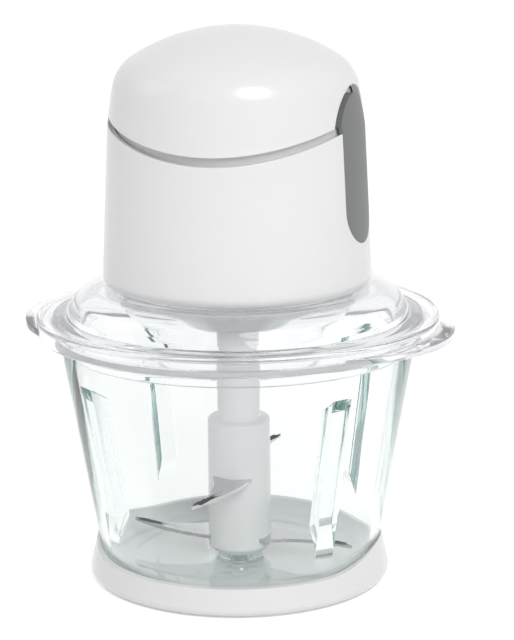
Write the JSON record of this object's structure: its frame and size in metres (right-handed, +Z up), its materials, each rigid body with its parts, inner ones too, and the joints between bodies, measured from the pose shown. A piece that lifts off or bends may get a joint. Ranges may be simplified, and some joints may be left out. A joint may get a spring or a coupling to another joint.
{
  "type": "electric mini chopper",
  "caption": "Kitchen chopper: ribbed glass bowl on a flared foot, clear lid with grip lugs, tapered motor unit whose domed top presses down, turning a blade on a pin.",
  "frame": {"origin": "middle of the surface that the foot's rubber pad stands on", "axes": "+Z up the blade's axis, -Y to the front, +X to the right-hand grip lug"},
  "size_m": [0.182, 0.167, 0.2307],
  "materials": {
    "white_plastic": "smooth gloss moulding",
    "pale_plastic": "plain moulding",
    "grey_plastic": "fine satin moulding",
    "dark_plastic": "plain moulding",
    "red_plastic": "plain moulding",
    "clear_plastic": "clear polished moulding",
    "bowl_glass": "clear pressed glass",
    "soft_seal": "soft silicone",
    "rubber_pad": "soft rubber",
    "blade_steel": "ground steel",
    "plain_steel": "turned steel",
    "screw_steel": "plated steel",
    "core_steel": "stacked sheet steel",
    "cast_bracket": "die casting",
    "case_plastic": "filled nylon",
    "bronze": "sintered bronze",
    "copper": "enamelled wire",
    "board_green": "lacquered board"
  },
  "bodies": {
    "base": {"base_ring": "white_plastic", "base_pad": "rubber_pad"},
    "bowl": {"glass_bowl": "bowl_glass", "pivot_pin": "blade_steel"},
    "blade": {"blade_shaft": "white_plastic", "lower_blade": "blade_steel", "upper_blade": "blade_steel"},
    "lid": {"lid": "clear_plastic", "lid_seal": "soft_seal"},
    "motor_unit": {"motor_housing": "white_plastic", "bottom_cover": "white_plastic", "cover_screws": "screw_steel", "top_cover": "pale_plastic", "side_strip_right": "grey_plastic", "side_strip_left": "grey_plastic", "cord_gland": "grey_plastic", "gear_case": "case_plastic", "gear_case_screws": "screw_steel", "output_bush": "bronze", "lower_bracket": "cast_bracket", "upper_bracket": "cast_bracket", "motor_bushes": "bronze", "motor_screws": "screw_steel", "stator_stack": "core_steel", "field_coils": "copper", "brush_holders": "bronze", "carbon_brushes": "dark_plastic", "circuit_board": "board_green", "switch_body": "dark_plastic", "return_springs": "plain_steel"},
    "button": {"button_cap": "white_plastic", "button_plate": "white_plastic", "button_screws": "screw_steel", "stop_screws": "screw_steel"},
    "switch": {"switch_plunger": "red_plastic"},
    "rotor": {"motor_shaft": "plain_steel", "armature": "core_steel", "armature_winding": "copper", "commutator": "copper", "cooling_fan": "dark_plastic", "sun_pinion": "plain_steel"},
    "drive": {"planet_carrier": "plain_steel", "planet_pins": "plain_steel", "output_shaft": "plain_steel", "drive_coupling": "pale_plastic"},
    "planet_1": {"planet_gear_1": "pale_plastic"},
    "planet_2": {"planet_gear_2": "pale_plastic"},
    "planet_3": {"planet_gear_3": "pale_plastic"}
  },
  "joints": [
    {"name": "bowl_lift", "type": "slide", "parent": "base", "child": "bowl", "axis": [0, 0, 1], "range_m": [0, 0.06]},
    {"name": "lid_lift", "type": "slide", "parent": "bowl", "child": "lid", "axis": [0, 0, 1], "range_m": [0, 0.08]},
    {"name": "motor_lift", "type": "slide", "parent": "lid", "child": "motor_unit", "axis": [0, 0, 1], "range_m": [0, 0.06]},
    {"name": "button_press", "type": "slide", "parent": "motor_unit", "child": "button", "axis": [0, 0, -1], "range_m": [0, 0.0025], "stiffness_N_per_m": 800, "springref_m": -0.005, "deforming": ["return_springs"]},
    {"name": "switch_press", "type": "slide", "parent": "motor_unit", "child": "switch", "axis": [0, 0, -1], "range_m": [0, 0.0025]},
    {"name": "rotor_spin", "type": "hinge", "parent": "motor_unit", "child": "rotor", "pos_m": [0, 0, 0], "axis": [0, 0, 1], "continuous": true},
    {"name": "drive_spin", "type": "hinge", "parent": "motor_unit", "child": "drive", "pos_m": [0, 0, 0], "axis": [0, 0, 1], "continuous": true},
    {"name": "planet_1_spin", "type": "hinge", "parent": "drive", "child": "planet_1", "pos_m": [0.0135, 0, 0.1385], "axis": [0, 0, 1], "continuous": true},
    {"name": "planet_2_spin", "type": "hinge", "parent": "drive", "child": "planet_2", "pos_m": [-0.00675, 0.01169, 0.1385], "axis": [0, 0, 1], "continuous": true},
    {"name": "planet_3_spin", "type": "hinge", "parent": "drive", "child": "planet_3", "pos_m": [-0.00675, -0.01169, 0.1385], "axis": [0, 0, 1], "continuous": true},
    {"name": "blade_spin", "type": "hinge", "parent": "bowl", "child": "blade", "pos_m": [0, 0, 0], "axis": [0, 0, 1], "continuous": true}
  ],
  "couplings": [
    {"joint": "switch_press", "follows": "button_press", "ratio": 1},
    {"joint": "drive_spin", "follows": "rotor_spin", "ratio": 0.25},
    {"joint": "planet_1_spin", "follows": "rotor_spin", "ratio": -0.75},
    {"joint": "planet_2_spin", "follows": "rotor_spin", "ratio": -0.75},
    {"joint": "planet_3_spin", "follows": "rotor_spin", "ratio": -0.75},
    {"joint": "blade_spin", "follows": "rotor_spin", "ratio": 0.25}
  ]
}
